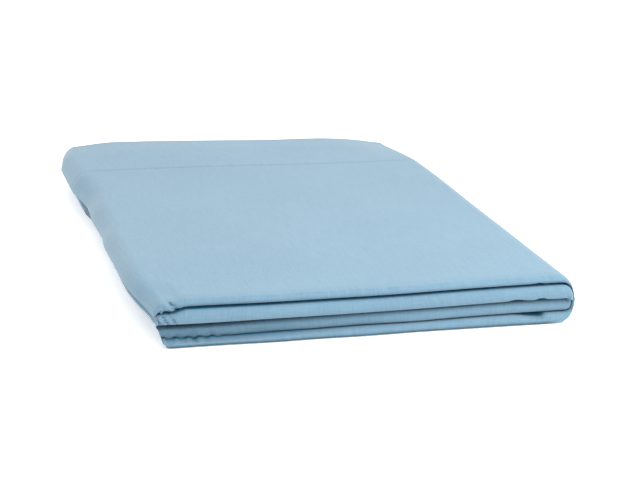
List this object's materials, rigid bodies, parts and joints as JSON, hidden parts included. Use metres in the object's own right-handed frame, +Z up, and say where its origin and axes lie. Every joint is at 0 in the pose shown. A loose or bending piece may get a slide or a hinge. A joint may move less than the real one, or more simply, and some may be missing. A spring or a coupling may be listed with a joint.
{
  "type": "patient gown",
  "caption": "Light blue woven patient gown, folded to a flat packet for the shelf, with its rolled fold edges to the front and a book fold that opens.",
  "frame": {"origin": "under the middle of the folded packet, on the surface that it lies on", "axes": "+Z up, +X towards the spine of the book fold, +Y towards the hem and neck ends, so the rolled fold edges face -Y"},
  "size_m": [0.19, 0.284, 0.0219],
  "materials": {
    "gown_cloth": "matt",
    "tape": "matt",
    "sewing_thread": "satin",
    "label": "satin"
  },
  "bodies": {
    "lower_half": {"front_panel_right_side": "gown_cloth", "front_panel_left_side": "gown_cloth", "back_panel_right_side": "gown_cloth", "back_panel_left_side": "gown_cloth", "side_seam_right": "sewing_thread", "side_seam_left": "sewing_thread", "armhole_seam_right": "sewing_thread", "armhole_seam_left": "sewing_thread", "hem_thread_side": "sewing_thread", "sleeve_right": "gown_cloth", "sleeve_left": "gown_cloth", "sleeve_hem_thread_right": "sewing_thread", "sleeve_hem_thread_left": "sewing_thread"},
    "upper_half": {"front_panel_center": "gown_cloth", "back_panel_right_center": "gown_cloth", "back_panel_left_center": "gown_cloth", "neck_binding": "tape", "hem_thread_center": "sewing_thread", "back_edge_thread_right": "sewing_thread", "back_edge_thread_left": "sewing_thread", "neck_tie_right": "tape", "neck_tie_left": "tape", "waist_tie_right": "tape", "waist_tie_left": "tape", "care_label": "label"}
  },
  "joints": [
    {"name": "book_fold", "type": "hinge", "parent": "lower_half", "child": "upper_half", "pos_m": [0.095, 0, 0.011], "axis": [0, 1, 0], "range_deg": [0, 180]}
  ]
}
